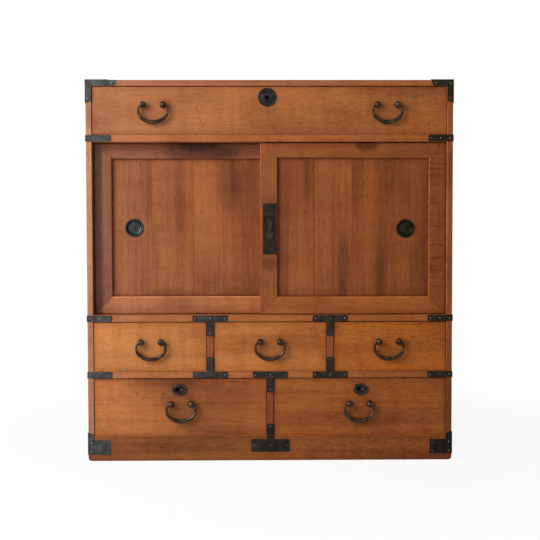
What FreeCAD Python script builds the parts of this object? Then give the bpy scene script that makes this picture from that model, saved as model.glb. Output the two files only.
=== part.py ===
import FreeCAD, Part
import math
import os

# Merchant chest: one wide drawer on top, two sliding doors, three small drawers, two deep drawers.
# Millimetres, +Z up, front towards -Y, +X to the viewer's right.
# The drawing below puts y = 0 on the carcass front plane; save() centres the finished chest in y.

Vector = FreeCAD.Vector
along_x = Vector(1, 0, 0)
along_y = Vector(0, 1, 0)
along_z = Vector(0, 0, 1)
tolerance = 1e-6

# Carcass
width = 873.0
depth = 420.0
side_thickness = 14.0
top_thickness = 14.0
rail_thickness = 16.0
upper_rail_thickness = 17.0
divider_thickness = 16.0
dust_board_thickness = 9.0
housing_depth = 5.0
rail_tenon_length = 8.0
rail_tenon_shoulder = 4.0
rail_tenon_setback = 12.0
finger_count = 5
base_height = 61.0
base_thickness = 20.0
base_corner_radius = 8.0
base_edge_round = 3.0
back_thickness = 8.0
back_rebate = 7.0
back_board_count = 5
back_seam = 0.6
edge_round = 1.2

# Clear heights of the rows, from the base upwards
bottom_row_height = 138.0
small_row_height = 119.5
door_row_height = 412.7
top_row_height = 114.8

# Drawers
drawer_recess = 2.0
drawer_side_gap = 1.0
drawer_top_gap = 1.6
drawer_back_gap = 2.0
drawer_front_thickness = 16.0
drawer_wall_thickness = 9.0
drawer_bottom_thickness = 7.0
drawer_lap = 8.0
drawer_wall_drop = 8.0

# Handles: a bail whose inturned ends turn in two ball-headed pins
top_left_handle_inset = 146.4
top_right_handle_inset = 142.8
top_handle_drop = 44.0
small_handle_drop = 46.7
small_handle_shift = 2.6
bottom_handle_drop = 60.1
bottom_handle_shift = 1.8
ball_radius = 8.3
ball_spacing = 48.5
pin_neck_length = 2.2
pin_neck_radius = 4.0
pin_shank_radius = 2.5
pin_hole_clearance = 0.2
clench_length = 18.0
clench_width = 5.0
clench_thickness = 2.0
bail_drop = 45.7
bail_end_radius = 2.8
bail_middle_radius = 4.8
bail_corner_start = 2.0
bail_corner_radius = 6.8
bail_corner_turn = 70.0
bail_arm_radius = 32.0
bail_shoulder_radius = 18.5
bail_end_depth = 3.5
bail_pivot_clearance = 0.1
bail_side_clearance = 0.3
socket_flare = 0.96

# Drawer locks
top_lock_drop = 25.1
bottom_lock_drop = 26.4
top_lock_shift = -6.0
left_lock_shift = -2.4
right_lock_shift = 1.8
round_plate_radius = 22.0
round_plate_thickness = 1.4
round_plate_boss_radius = 11.0
round_plate_relief = 1.0
round_keyhole_radius = 4.7
oval_plate_half_width = 18.4
oval_plate_half_height = 13.6
oval_plate_thickness = 4.0
oval_plate_rim = 4.8
oval_plate_floor = 1.0
oval_plate_boss_radius = 3.6
oval_plate_boss_height = 2.0
oval_plate_boss_shift = 6.0
oval_keyhole_radius = 4.2
oval_keyhole_shift = -4.4
lock_case_width = 46.0
lock_case_height = 34.0
lock_case_wall = 3.0
lock_case_drop = 6.0
bolt_width = 16.0
bolt_thickness = 4.0
bolt_drop = 2.0
bolt_rise = 11.0
bolt_clearance = 0.3
mortise_clearance = 1.2

# Sliding doors
door_recess = 8.0
door_thickness = 20.0
door_track_gap = 3.0
track_back_lip = 9.0
door_overlap = 46.0
door_side_gap = 0.5
door_top_gap = 1.5
door_bottom_gap = 1.0
stile_width = 41.0
door_top_rail = 35.7
door_bottom_rail = 41.8
door_edge_round = 2.5
tongue_thickness = 8.0
track_clearance = 0.5
upper_track_depth = 9.0
lower_track_depth = 3.5
upper_track_hold = 4.5
panel_thickness = 8.0
panel_recess = 8.0
panel_groove_depth = 8.0
panel_float = 1.0
panel_seam = 0.3
left_panel_seams = (135.5, 237.0, 309.0)
right_panel_seams = (128.5, 225.5, 316.5)

# Door pulls
left_pull_inset = 94.0
right_pull_inset = 96.2
left_pull_rise = 209.0
right_pull_rise = 206.2
pull_flange_radius = 22.5
pull_flange_height = 2.4
pull_cup_radius = 17.5
pull_bowl_radius = 5.0
pull_wall = 1.5
pull_floor = 1.2
pull_fit = 0.2

# Door lock
door_plate_width = 32.4
door_plate_height = 122.0
door_plate_thickness = 1.5
door_plate_inset = 2.6
door_plate_rise = 205.5
door_keyhole_radius = 4.0
door_bolt_width = 12.0
door_bolt_height = 16.0
door_bolt_length = 12.0
door_bolt_setback = 1.0
door_bolt_throw = 10.0
cover_upper_half_width = 6.0
cover_upper_half_height = 12.5
cover_lower_half_width = 8.0
cover_lower_half_height = 14.5
cover_waist_lap = 3.0
cover_thickness = 2.2
cover_gap = 0.25
cover_pin_radius = 1.6
cover_pin_clearance = 0.1
cover_pin_head_radius = 3.0
cover_pin_head_height = 1.0
cover_pin_drop = 4.8

# Irons
iron_thickness = 1.2
iron_lap = 0.8
iron_reveal = 0.2
bar_reveal = 0.6
iron_chamfer = 2.0
strap_length = 59.0
strap_wrap = 46.0
tee_bar_length = 84.0
tee_leg_length = 34.5
base_tee_bar_length = 92.0
base_tee_bar_height = 30.5
base_tee_bar_bottom = 21.0
base_tee_leg_rise = 28.0
corner_leg_length = 53.0
corner_leg_drop = 54.5
corner_tail_length = 21.0
corner_tail_thickness = 0.8
corner_slant = 5.0
base_iron_length = 53.0
base_iron_bottom = 15.5
base_iron_height = 34.5
base_iron_leg_rise = 19.0
nail_head_radius = 2.3
nail_head_height = 1.0
nail_shank_radius = 0.9
nail_length = 12.0
nail_point = 3.0
nail_hole_clearance = 0.1
nail_inset = 6.5

# Levels and faces that follow from the sizes above
lower_rail_bottom = base_height + bottom_row_height
lower_rail_top = lower_rail_bottom + rail_thickness
middle_rail_bottom = lower_rail_top + small_row_height
middle_rail_top = middle_rail_bottom + rail_thickness
upper_rail_bottom = middle_rail_top + door_row_height
upper_rail_top = upper_rail_bottom + upper_rail_thickness
top_board_bottom = upper_rail_top + top_row_height
height = top_board_bottom + top_thickness
half_width = width / 2
inner_half = half_width - side_thickness
back_face = depth - back_thickness
rear_door_face = door_recess + door_thickness + door_track_gap
rail_depth = rear_door_face + door_thickness + track_back_lip
door_width = inner_half + door_overlap / 2 - door_side_gap
door_bottom = middle_rail_top + door_bottom_gap
door_top = upper_rail_bottom - door_top_gap
drawer_back = back_face - drawer_back_gap
front_inside = drawer_recess + drawer_front_thickness
ball_stand = pin_neck_length + ball_radius
bolt_front = front_inside + lock_case_wall
bolt_back = bolt_front + bolt_thickness
small_opening = (2 * inner_half - 2 * divider_thickness) / 3
bottom_opening = (2 * inner_half - divider_thickness) / 2
small_pitch = small_opening + divider_thickness
bottom_pitch = bottom_opening + divider_thickness
handle_reach = ball_stand + ball_radius - drawer_recess
front_plane = (handle_reach - depth) / 2

iron_nails = []


def box(x0, x1, y0, y1, z0, z1):
    """Block between two x, two y and two z values."""
    return Part.makeBox(x1 - x0, y1 - y0, z1 - z0, Vector(x0, y0, z0))


def span(sign, near, far):
    """Low and high x of a stretch on the left (sign -1) or right (sign 1) half."""
    return sorted((sign * near, sign * far))


def prism_x(outline, x0, x1):
    """Block of thickness x0 to x1 with an outline of (y, z) points."""
    points = [Vector(x0, y, z) for y, z in outline]
    return Part.Face(Part.makePolygon(points + points[:1])).extrude(Vector(x1 - x0, 0, 0))


def prism_y(outline, y0, y1):
    """Block of thickness y0 to y1 with an outline of (x, z) points."""
    points = [Vector(x, y0, z) for x, z in outline]
    return Part.Face(Part.makePolygon(points + points[:1])).extrude(Vector(0, y1 - y0, 0))


def rod_y(x, z, radius, y0, y1):
    """Cylinder along y."""
    return Part.makeCylinder(radius, y1 - y0, Vector(x, y0, z), along_y)


def oval_y(x, z, half_width_x, half_height_z, y0, y1):
    """Elliptical block along y."""
    centre = Vector(x, y0, z)
    across = centre + Vector(half_width_x, 0, 0)
    upright = centre + Vector(0, 0, half_height_z)
    if half_width_x > half_height_z:
        curve = Part.Ellipse(across, upright, centre)
    else:
        curve = Part.Ellipse(upright, across, centre)
    return Part.Face(Part.Wire(curve.toShape())).extrude(Vector(0, y1 - y0, 0))


def turned_y(profile, x, z):
    """Solid turned about a y axis through x, z, from (radius, y) points."""
    points = [Vector(x + radius, y, z) for radius, y in profile]
    face = Part.Face(Part.makePolygon(points + points[:1]))
    return face.revolve(Vector(x, 0, z), along_y, 360)


def join(first, *others):
    """One solid from touching or overlapping solids."""
    return first.fuse(list(others)).removeSplitter()


def edges_at(shape, along=None, **place):
    """Edges along a direction, or along any, that lie at the given x, y or z."""
    found = []
    for edge in shape.Edges:
        heading = edge.tangentAt(edge.FirstParameter)
        if along is not None and abs(heading.dot(along)) < 0.999:
            continue
        misses = [abs(getattr(vertex.Point, axis) - value)
                  for vertex in edge.Vertexes for axis, value in place.items()]
        if max(misses) < tolerance:
            found.append(edge)
    return found


def round_front(shape, y, radius, along=None):
    """Eases the edges of a piece that lie in its front plane."""
    return shape.makeFillet(radius, edges_at(shape, along, y=y))


def save(node, *shapes):
    """Writes one node, moved so that the whole chest is centred on the origin in y."""
    solids = [solid for shape in shapes for solid in shape.Solids]
    node_shape = solids[0] if len(solids) == 1 else Part.makeCompound(solids)
    node_shape = node_shape.copy()
    node_shape.translate(Vector(0, front_plane, 0))
    node_shape.exportStep(os.path.join("parts", node + ".step"))


# Carcass


def rail_levels():
    """Bottom and top of the lower, middle and upper rail."""
    return ((lower_rail_bottom, lower_rail_top),
            (middle_rail_bottom, middle_rail_top),
            (upper_rail_bottom, upper_rail_top))


def dust_board_spaces():
    """Front face and top of each dust board, from the base upwards."""
    return ((base_thickness, base_height),
            (rail_depth, lower_rail_top),
            (rail_depth, middle_rail_top),
            (rail_depth, upper_rail_top))


def rail_tenon(sign, bottom, top):
    """Stub tenon of a rail end, also the mortise cut in the side."""
    x0, x1 = span(sign, inner_half, inner_half + rail_tenon_length)
    return box(x0, x1, rail_tenon_setback, rail_depth - rail_tenon_setback,
               bottom + rail_tenon_shoulder, top - rail_tenon_shoulder)


def side_fingers():
    """Low and high y of the fingers that stand up from a side into the top board."""
    finger = depth / finger_count
    return [(index * finger, (index + 1) * finger) for index in range(1, finger_count, 2)]


def side_board(sign):
    """One side: runs to the floor behind the base rail, housed for rails, boards and back."""
    outline = [(base_thickness, 0), (depth, 0), (depth, top_board_bottom)]
    for near, far in reversed(side_fingers()):
        outline += [(far, top_board_bottom), (far, height), (near, height), (near, top_board_bottom)]
    outline += [(0, top_board_bottom), (0, base_height), (base_thickness, base_height)]
    board = prism_x(outline, *span(sign, inner_half, half_width))
    board = round_front(board, 0, edge_round, along_z)
    board = board.makeFillet(base_corner_radius, edges_at(board, along_y, x=sign * half_width, z=0))
    housings = [rail_tenon(sign, bottom, top) for bottom, top in rail_levels()]
    for front, top in dust_board_spaces():
        x0, x1 = span(sign, inner_half, inner_half + housing_depth)
        housings.append(box(x0, x1, front, back_face, top - dust_board_thickness, top))
    x0, x1 = span(sign, inner_half, inner_half + back_rebate)
    housings.append(box(x0, x1, back_face, depth, base_height - dust_board_thickness, top_board_bottom))
    return board.cut(housings)


def bolt_mortise(x, underside):
    """Pocket in the underside of a board, for a drawer's lock bolt."""
    half = bolt_width / 2 + mortise_clearance
    reach = bolt_rise - bolt_drop - drawer_top_gap + mortise_clearance
    return box(x - half, x + half, bolt_front - mortise_clearance, bolt_back + mortise_clearance,
               underside, underside + reach)


def top_board():
    """Top, finger-jointed to the sides, with a pocket for the top drawer's bolt."""
    board = box(-half_width, half_width, 0, depth, top_board_bottom, height)
    board = round_front(board, 0, edge_round, along_x)
    cuts = [bolt_mortise(top_lock_shift, top_board_bottom)]
    for sign in (-1, 1):
        x0, x1 = span(sign, inner_half, half_width)
        cuts += [box(x0, x1, near, far, top_board_bottom, height) for near, far in side_fingers()]
    return board.cut(cuts)


def base_front_rail():
    """Plinth rail across the whole front, with rounded lower corners."""
    rail = box(-half_width, half_width, 0, base_thickness, 0, base_height)
    corners = edges_at(rail, along_y, x=-half_width, z=0) + edges_at(rail, along_y, x=half_width, z=0)
    rail = rail.makeFillet(base_corner_radius, corners)
    return rail.makeFillet(base_edge_round, edges_at(rail, along_x, y=0, z=base_height))


def front_rail(bottom, top):
    """Rail between the sides, with a stub tenon at each end."""
    rail = box(-inner_half, inner_half, 0, rail_depth, bottom, top)
    rail = round_front(rail, 0, edge_round, along_x)
    return join(rail, rail_tenon(-1, bottom, top), rail_tenon(1, bottom, top))


def door_track(face, bottom, top):
    """Groove for the tongue of the door whose front face lies at the given y."""
    middle = face + door_thickness / 2
    half = tongue_thickness / 2 + track_clearance
    return box(-inner_half, inner_half, middle - half, middle + half, bottom, top)


def door_tracks(bottom, top):
    """Grooves of the front and the rear door."""
    return [door_track(face, bottom, top) for face in (door_recess, rear_door_face)]


def lower_rail():
    """Rail over the bottom drawers, with pockets for their bolts."""
    places = (left_lock_shift - bottom_pitch / 2, right_lock_shift + bottom_pitch / 2)
    pockets = [bolt_mortise(x, lower_rail_bottom) for x in places]
    return front_rail(lower_rail_bottom, lower_rail_top).cut(pockets)


def middle_rail():
    """Rail under the doors, with the shallow tracks that carry them."""
    rail = front_rail(middle_rail_bottom, middle_rail_top)
    return rail.cut(door_tracks(middle_rail_top - lower_track_depth, middle_rail_top))


def upper_rail():
    """Rail over the doors, with tracks deep enough to lift a door out."""
    rail = front_rail(upper_rail_bottom, upper_rail_top)
    return rail.cut(door_tracks(upper_rail_bottom, upper_rail_bottom + upper_track_depth))


def dust_boards():
    """Floors that the drawers run on, housed in the sides behind the rails."""
    reach = inner_half + housing_depth
    return [box(-reach, reach, front, back_face, top - dust_board_thickness, top)
            for front, top in dust_board_spaces()]


def divider(x, bottom, rail_bottom):
    """Upright board between two drawers, notched under the rail above it."""
    board_bottom = rail_bottom + rail_thickness - dust_board_thickness
    outline = [(0, bottom), (back_face, bottom), (back_face, board_bottom),
               (rail_depth, board_bottom), (rail_depth, rail_bottom), (0, rail_bottom)]
    board = prism_x(outline, x - divider_thickness / 2, x + divider_thickness / 2)
    return round_front(board, 0, edge_round, along_z)


def back_boards():
    """Level boards nailed into the rebates of the sides."""
    reach = inner_half + back_rebate
    lowest = base_height - dust_board_thickness
    pitch = (top_board_bottom - lowest + back_seam) / back_board_count
    feet = [lowest + index * pitch for index in range(back_board_count)]
    return [box(-reach, reach, back_face, depth, foot, foot + pitch - back_seam) for foot in feet]


# Irons


def nail(spot, heading, length=nail_length):
    """Dome-headed nail; spot is where its head sits, heading the way it is driven."""
    rise = nail_head_height * 0.75
    dome = Part.Arc(Vector(0, 0, -nail_head_height), Vector(nail_head_radius * 0.55, 0, -rise),
                    Vector(nail_head_radius, 0, 0)).toShape()
    points = [Vector(nail_head_radius, 0, 0), Vector(nail_shank_radius, 0, 0),
              Vector(nail_shank_radius, 0, length - nail_point), Vector(0, 0, length),
              Vector(0, 0, -nail_head_height)]
    outline = Part.Wire([dome] + Part.makePolygon(points).Edges)
    shape = Part.Face(outline).revolve(Vector(0, 0, 0), along_z, 360)
    shape.Placement = FreeCAD.Placement(spot, FreeCAD.Rotation(along_z, heading))
    return shape


def nailed(iron, spots):
    """Punches an iron for its nails and adds the nails; spots are (place, heading) pairs."""
    radius = nail_shank_radius + nail_hole_clearance
    holes = []
    for spot, heading in spots:
        holes.append(Part.makeCylinder(radius, nail_length, spot - heading * nail_head_height, heading))
        iron_nails.append(nail(spot, heading))
    return iron.cut(holes)


def front_spots(places, proud=iron_thickness):
    """Nail spots on the front of an iron, from (x, z) places."""
    return [(Vector(x, -proud, z), along_y) for x, z in places]


def side_spots(sign, places):
    """Nail spots on the part of an iron that wraps round a side, from (y, z) places."""
    return [(Vector(sign * (half_width + iron_thickness), y, z), Vector(-sign, 0, 0)) for y, z in places]


def clipped_bar(x0, x1, z0, z1, clip_low, clip_high):
    """Outline of a bar with its low or high end clipped at the corners."""
    outline = [(x0 + clip_low, z0), (x1 - clip_high, z0)]
    if clip_high:
        outline.append((x1, z0 + clip_high))
        outline.append((x1, z1 - clip_high))
    outline += [(x1 - clip_high, z1), (x0 + clip_low, z1)]
    if clip_low:
        outline.append((x0, z1 - clip_low))
        outline.append((x0, z0 + clip_low))
    return outline


def rail_strap(sign, bottom, top):
    """Strap over a rail end, bent round the side."""
    z0 = bottom + bar_reveal
    z1 = top - bar_reveal
    middle = (bottom + top) / 2
    x0, x1 = span(sign, half_width - strap_length, half_width + iron_thickness)
    clips = (iron_chamfer, 0) if sign > 0 else (0, iron_chamfer)
    face = prism_y(clipped_bar(x0, x1, z0, z1, *clips), -iron_thickness, 0)
    x0, x1 = span(sign, half_width, half_width + iron_thickness)
    wrap = box(x0, x1, -iron_thickness, strap_wrap, z0, z1)
    inner = half_width - strap_length + nail_inset
    outer = half_width - nail_inset
    spots = front_spots([(sign * x, middle) for x in (inner, (inner + outer) / 2, outer)])
    spots += side_spots(sign, [(strap_wrap / 2, middle), (strap_wrap - nail_inset, middle)])
    return nailed(join(face, wrap), spots)


def tee_iron(x, bar_bottom, bar_top, bar_length, leg_end):
    """Tee over the meeting of a rail and a divider; the leg laps the bar with a pointed head."""
    half_bar = bar_length / 2
    half_leg = divider_thickness / 2 - iron_reveal
    upright = 1 if leg_end > bar_top else -1
    middle = (bar_bottom + bar_top) / 2
    bar = prism_y(clipped_bar(x - half_bar, x + half_bar, bar_bottom, bar_top, iron_chamfer, iron_chamfer),
                  -iron_thickness, 0)
    shoulder = middle - upright * (bar_top - bar_bottom) / 4
    tip = shoulder - upright * (bar_top - bar_bottom) / 4
    near_edge = bar_top if upright > 0 else bar_bottom
    head = [(x - half_leg, near_edge), (x - half_leg, shoulder), (x, tip),
            (x + half_leg, shoulder), (x + half_leg, near_edge)]
    lap = prism_y(head, -iron_thickness - iron_lap, -iron_thickness / 2)
    end = leg_end - upright * iron_chamfer
    strip = [(x - half_leg, near_edge), (x - half_leg, end), (x - half_leg + iron_chamfer, leg_end),
             (x + half_leg - iron_chamfer, leg_end), (x + half_leg, end), (x + half_leg, near_edge)]
    leg = prism_y(strip, -iron_thickness - iron_lap, 0)
    places = [(x + side * (half_bar - nail_inset), middle) for side in (-1, 1)]
    spots = front_spots(places)
    spots += front_spots([(x, leg_end - upright * nail_inset), (x, middle)], iron_thickness + iron_lap)
    return nailed(join(bar, lap, leg), spots)


def top_corner_iron(sign):
    """Iron over a top corner: on the front edge of the top and of the side, over the top and the side."""
    outer = half_width + iron_thickness
    roof = height + iron_thickness
    leg = half_width - corner_leg_length
    foot = height - corner_leg_drop
    face = [(sign * outer, roof), (sign * leg, roof),
            (sign * (leg + corner_slant), top_board_bottom + iron_reveal),
            (sign * (inner_half + iron_reveal), top_board_bottom + iron_reveal),
            (sign * (inner_half + iron_reveal), foot + corner_slant), (sign * outer, foot)]
    front = prism_y(face, -iron_thickness, 0)
    x0, x1 = span(sign, leg, outer)
    over = box(x0, x1, -iron_thickness, strap_wrap, height, roof)
    x0, x1 = span(sign, half_width, outer)
    wrap = box(x0, x1, -iron_thickness, strap_wrap, foot, roof)
    board_middle = (top_board_bottom + height) / 2
    side_middle = (half_width + inner_half) / 2
    spots = front_spots([(sign * (leg + corner_slant + nail_inset), board_middle),
                         (sign * side_middle, board_middle),
                         (sign * side_middle, foot + corner_slant + nail_inset)])
    spots += side_spots(sign, [(strap_wrap / 2, board_middle), (strap_wrap - nail_inset, foot + nail_inset)])
    for inset in (nail_inset, corner_leg_length - nail_inset):
        place = Vector(sign * (half_width - inset), strap_wrap - nail_inset, roof)
        spots.append((place, Vector(0, 0, -1)))
    return nailed(join(front, over, wrap), spots)


def corner_tail():
    """Thin strip that lengthens the left top corner iron along the top's front edge."""
    start = corner_leg_length - half_width
    end = start + corner_tail_length
    face = [(start, height), (end, height), (end - corner_slant, top_board_bottom + iron_reveal),
            (start - corner_slant, top_board_bottom + iron_reveal)]
    places = [(end - corner_slant - nail_inset, (top_board_bottom + height) / 2)]
    return nailed(prism_y(face, -corner_tail_thickness, 0), front_spots(places, corner_tail_thickness))


def base_corner_iron(sign):
    """Iron round a base corner, with a short leg up the side's front edge."""
    outer = half_width + iron_thickness
    inner = half_width - base_iron_length
    top = base_iron_bottom + base_iron_height
    tip = top + base_iron_leg_rise
    edge = inner_half + iron_reveal
    face = [(sign * outer, base_iron_bottom), (sign * inner, base_iron_bottom), (sign * inner, top),
            (sign * edge, top), (sign * edge, tip - corner_slant), (sign * outer, tip)]
    front = prism_y(face, -iron_thickness, 0)
    x0, x1 = span(sign, half_width, outer)
    wrap = box(x0, x1, -iron_thickness, strap_wrap, base_iron_bottom, top)
    low = base_iron_bottom + nail_inset
    high = top - nail_inset
    places = [(sign * x, z) for x in (inner + nail_inset, half_width - nail_inset) for z in (low, high)]
    spots = front_spots(places)
    spots += side_spots(sign, [(strap_wrap - nail_inset, z) for z in (low, high)])
    return nailed(join(front, wrap), spots)


def corner_irons():
    """Irons at the two top and the two base corners."""
    irons = []
    for sign in (-1, 1):
        irons.append(top_corner_iron(sign))
        irons.append(base_corner_iron(sign))
    irons.append(corner_tail())
    return irons


def rail_straps():
    """Straps at both ends of the three rails."""
    return [rail_strap(sign, bottom, top) for bottom, top in rail_levels() for sign in (-1, 1)]


def tee_irons():
    """Tees at the top and foot of each divider."""
    irons = []
    for sign in (-1, 1):
        x = sign * small_pitch / 2
        irons.append(tee_iron(x, middle_rail_bottom + bar_reveal, middle_rail_top - bar_reveal,
                              tee_bar_length, middle_rail_bottom - tee_leg_length))
        irons.append(tee_iron(x, lower_rail_bottom + bar_reveal, lower_rail_top - bar_reveal,
                              tee_bar_length, lower_rail_top + tee_leg_length))
    irons.append(tee_iron(0, lower_rail_bottom + bar_reveal, lower_rail_top - bar_reveal,
                          tee_bar_length, lower_rail_bottom - tee_leg_length))
    base_bar_top = base_tee_bar_bottom + base_tee_bar_height
    irons.append(tee_iron(0, base_tee_bar_bottom, base_bar_top, base_tee_bar_length,
                          base_height + base_tee_leg_rise))
    return irons


# Handles


def bail_socket(sign, centre):
    """Hole in a ball that flares in steps, clear of the bail's bent end at every angle."""
    hole = bail_end_radius + bail_pivot_clearance
    sweep = bail_corner_radius - hole
    mouth = sweep * socket_flare
    end = -bail_end_depth - bail_side_clearance
    outside = ball_radius + bail_side_clearance
    steps = 4
    profile = [(outside, 0), (end, 0), (end, hole)]
    for step in range(steps + 1):
        reach = mouth * step / steps
        radius = bail_corner_radius - math.sqrt(sweep ** 2 - reach ** 2)
        profile.append((bail_corner_start + reach, radius))
    profile += [(bail_corner_start + mouth, outside), (outside, outside)]
    points = [Vector(reach, 0, radius) for reach, radius in profile]
    shape = Part.Face(Part.makePolygon(points + points[:1])).revolve(Vector(0, 0, 0), along_x, 360)
    shape.Placement = FreeCAD.Placement(centre, FreeCAD.Rotation(along_x, Vector(sign, 0, 0)))
    return shape


def handle_pins(x, z):
    """Two ball-headed pins through a drawer front, clenched behind it."""
    pins = []
    ball_y = drawer_recess - ball_stand
    for sign in (-1, 1):
        centre = x + sign * ball_spacing / 2
        ball = Part.makeSphere(ball_radius, Vector(centre, ball_y, z))
        neck = rod_y(centre, z, pin_neck_radius, ball_y, drawer_recess)
        shank = rod_y(centre, z, pin_shank_radius, drawer_recess, front_inside + clench_thickness)
        clench = box(centre - clench_width / 2, centre + clench_width / 2, front_inside,
                     front_inside + clench_thickness, z - clench_length / 2, z + clench_length / 2)
        pins.append(join(ball, neck, shank, clench).cut(bail_socket(sign, Vector(centre, ball_y, z))))
    return pins


def pin_holes(x, z):
    """Holes in a drawer front for one handle's pins."""
    radius = pin_shank_radius + pin_hole_clearance
    return [rod_y(x + sign * ball_spacing / 2, z, radius, drawer_recess, front_inside) for sign in (-1, 1)]


def bail_stations():
    """Centre line of the bail from its left corner to its right corner: (x, z, heading, radius) rows."""
    down = math.pi * 3 / 2
    level = math.pi * 2
    start = math.pi + math.radians(bail_corner_turn)
    arm = bail_arm_radius
    arm_x = -ball_spacing / 2 - bail_corner_start + (bail_corner_radius - arm) * math.sin(start)
    arm_z = -bail_corner_radius - (bail_corner_radius - arm) * math.cos(start)
    side = arm - arm_x
    fall = bail_drop - bail_middle_radius + arm_z
    shoulder = bail_shoulder_radius
    bow = ((side - shoulder) ** 2 + fall ** 2 - shoulder ** 2) / (2 * (fall - shoulder))
    bow_z = arm_z - fall + bow
    turn = math.atan2(bow_z - arm_z, side - shoulder)
    arm_steps = 2
    shoulder_steps = 4
    bow_steps = 5
    bends = [(arm_x, arm_z, arm, start + (down - start) * step / arm_steps) for step in range(arm_steps)]
    bends += [(shoulder - side, arm_z, shoulder, down + turn * step / shoulder_steps)
              for step in range(shoulder_steps)]
    bends += [(0, bow_z, bow, down + turn + (level - down - turn) * step / bow_steps)
              for step in range(bow_steps + 1)]
    rows = []
    for x, z, radius, heading in bends:
        share = (heading - start) / (level - start)
        swell = share * share * (3 - 2 * share)
        thickness = bail_end_radius + (bail_middle_radius - bail_end_radius) * swell
        rows.append((x + radius * math.sin(heading), z - radius * math.cos(heading), heading, thickness))
    mirrored = [(-x, z, math.pi * 4 - heading, radius) for x, z, heading, radius in reversed(rows[:-1])]
    return rows + mirrored


def bail_section(x, z, heading, radius):
    """Round section of the bail, square to its centre line."""
    ring = Part.Wire(Part.Circle(Vector(0, 0, 0), along_z, radius).toShape())
    turn = FreeCAD.Rotation(along_y, 90 - math.degrees(heading))
    ring.Placement = FreeCAD.Placement(Vector(x, 0, z), turn)
    return ring


def bail(x, z):
    """Bail handle, hanging: a bow that swells to the middle, its ends turned in to the pins."""
    bow = Part.makeLoft([bail_section(*row) for row in bail_stations()], True, False)
    pieces = []
    bend = ball_spacing / 2 + bail_corner_start
    for sign in (-1, 1):
        inner_end = ball_spacing / 2 - bail_end_depth
        pieces.append(Part.makeCylinder(bail_end_radius, bend - inner_end,
                                        Vector(sign * inner_end, 0, 0), Vector(sign, 0, 0)))
        ring = Part.Wire(Part.Circle(Vector(sign * bend, 0, 0), along_x, bail_end_radius).toShape())
        pieces.append(Part.Face(ring).revolve(Vector(sign * bend, 0, -bail_corner_radius),
                                              Vector(0, sign, 0), bail_corner_turn))
    handle = join(bow, *pieces)
    handle.translate(Vector(x, drawer_recess - ball_stand, z))
    return handle


# Drawer locks


def round_lock_plate(x, z):
    """Round plate with a raised rim, a raised boss and a keyhole."""
    face = drawer_recess - round_plate_thickness
    proud = face - round_plate_relief
    rim = round_plate_radius - 2 * round_plate_relief
    profile = [(round_keyhole_radius, drawer_recess), (round_plate_radius, drawer_recess),
               (round_plate_radius, face), (round_plate_radius - round_plate_relief, proud),
               (rim, proud), (rim - round_plate_relief, face),
               (round_plate_boss_radius + round_plate_relief, face),
               (round_plate_boss_radius, proud), (round_keyhole_radius, proud)]
    return turned_y(profile, x, z)


def oval_lock_plate(x, z):
    """Oval plate with a thick rim round a sunk field, a keyhole and a boss beside it."""
    front = drawer_recess - oval_plate_thickness
    body = oval_y(x, z, oval_plate_half_width, oval_plate_half_height, front, drawer_recess)
    body = round_front(body, front, oval_plate_rim * 0.45)
    field = oval_y(x, z, oval_plate_half_width - oval_plate_rim, oval_plate_half_height - oval_plate_rim,
                   front, drawer_recess - oval_plate_floor)
    keyhole = rod_y(x + oval_keyhole_shift, z, oval_keyhole_radius, front, drawer_recess)
    floor = drawer_recess - oval_plate_floor
    boss = rod_y(x + oval_plate_boss_shift, z, oval_plate_boss_radius, floor - oval_plate_boss_height, floor)
    boss = round_front(boss, floor - oval_plate_boss_height, oval_plate_boss_height / 2)
    return join(body.cut([field, keyhole]), boss)


def lock_case(x, drawer_top, keyhole):
    """Iron case behind a drawer front that guides the bolt."""
    top = drawer_top - lock_case_drop
    block = box(x - lock_case_width / 2, x + lock_case_width / 2, front_inside, bolt_back + lock_case_wall,
                top - lock_case_height, top)
    slot = box(x - bolt_width / 2 - bolt_clearance, x + bolt_width / 2 + bolt_clearance,
               bolt_front - bolt_clearance, bolt_back + bolt_clearance,
               top - lock_case_height + lock_case_wall, top)
    return block.cut([slot, keyhole])


def lock_bolt(x, drawer_top):
    """Bolt that rises out of its case into the board above, drawn back at rest."""
    floor = drawer_top - lock_case_drop - lock_case_height + lock_case_wall
    return box(x - bolt_width / 2, x + bolt_width / 2, bolt_front, bolt_back, floor, drawer_top - bolt_drop)


# Drawers


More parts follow.
